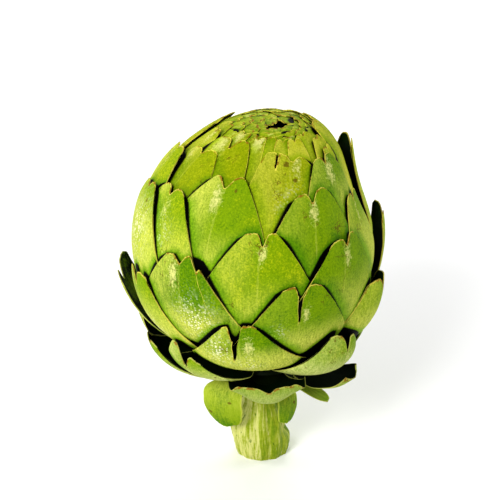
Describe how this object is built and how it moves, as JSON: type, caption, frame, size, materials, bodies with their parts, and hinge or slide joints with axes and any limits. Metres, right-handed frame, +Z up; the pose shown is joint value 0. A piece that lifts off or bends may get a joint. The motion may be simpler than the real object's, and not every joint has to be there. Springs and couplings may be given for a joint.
{
  "type": "globe artichoke",
  "caption": "Fresh green globe artichoke, cut with a short stem, standing upright with notched bracts closed in a spiral round its head.",
  "frame": {"origin": "middle of the flat cut under the stem, on the surface that the artichoke stands on", "axes": "+Z up along the stem to the crown, -Y at the front, +X to the right seen from the front"},
  "size_m": [0.1052, 0.0972, 0.1441],
  "materials": {
    "head_bract_skin": "waxy matte plant skin, lime green with fine lengthwise streaks, pale bloom and white specks, yellow rims and a brown spine scar in each notch",
    "crown_bract_skin": "waxy matte plant skin, yellow-green, paler and downy at the tips with small brown spots",
    "base_bract_skin": "waxy matte plant skin, grey-green outside and dark green inside, with yellow rims",
    "bud_skin": "the shut tips of the innermost bracts, yellow-green with brown and pinkish points",
    "stem_skin": "pale yellow-green ribbed stem skin with dark green streaks, and a paler fibrous cut underneath",
    "stem_leaf_skin": "waxy lime-green leaf skin with dark streaks"
  },
  "bodies": {
    "root": {"base_bract_38": "base_bract_skin", "base_bract_39": "base_bract_skin", "base_bract_40": "base_bract_skin", "base_bract_41": "base_bract_skin", "base_bract_42": "base_bract_skin", "base_bract_43": "base_bract_skin", "base_bract_44": "base_bract_skin", "base_bract_45": "base_bract_skin", "base_bract_46": "base_bract_skin", "base_bract_47": "base_bract_skin", "base_bract_48": "base_bract_skin", "base_bract_50": "base_bract_skin", "base_bract_51": "base_bract_skin", "bud_scale_01": "crown_bract_skin", "bud_scale_02": "crown_bract_skin", "bud_scale_03": "crown_bract_skin", "bud_scale_04": "crown_bract_skin", "bud_scale_05": "crown_bract_skin", "bud_scale_06": "crown_bract_skin", "bud_scale_07": "crown_bract_skin", "bud_scale_08": "crown_bract_skin", "bud_scale_09": "crown_bract_skin", "bud_scale_10": "crown_bract_skin", "bud_scale_11": "crown_bract_skin", "crown_bract_07": "crown_bract_skin", "crown_bract_08": "crown_bract_skin", "crown_bract_09": "crown_bract_skin", "crown_bract_10": "crown_bract_skin", "crown_bract_11": "crown_bract_skin", "crown_bract_12": "crown_bract_skin", "head_bract_13": "head_bract_skin", "head_bract_14": "head_bract_skin", "head_bract_15": "head_bract_skin", "head_bract_16": "head_bract_skin", "head_bract_17": "head_bract_skin", "head_bract_18": "head_bract_skin", "head_bract_19": "head_bract_skin", "head_bract_20": "head_bract_skin", "head_bract_21": "head_bract_skin", "head_bract_22": "head_bract_skin", "head_bract_23": "head_bract_skin", "head_bract_24": "head_bract_skin", "head_bract_25": "head_bract_skin", "head_bract_26": "head_bract_skin", "head_bract_27": "head_bract_skin", "head_bract_28": "head_bract_skin", "head_bract_29": "head_bract_skin", "head_bract_30": "head_bract_skin", "head_bract_31": "head_bract_skin", "head_bract_32": "head_bract_skin", "head_bract_33": "head_bract_skin", "head_bract_34": "head_bract_skin", "head_bract_35": "head_bract_skin", "head_bract_36": "head_bract_skin", "head_bract_37": "head_bract_skin", "inner_bud": "bud_skin", "stem_and_heart": "stem_skin", "stem_leaf_left": "stem_leaf_skin", "stem_leaf_pointed": "stem_leaf_skin", "stem_leaf_right": "stem_leaf_skin"}
  },
  "joints": []
}
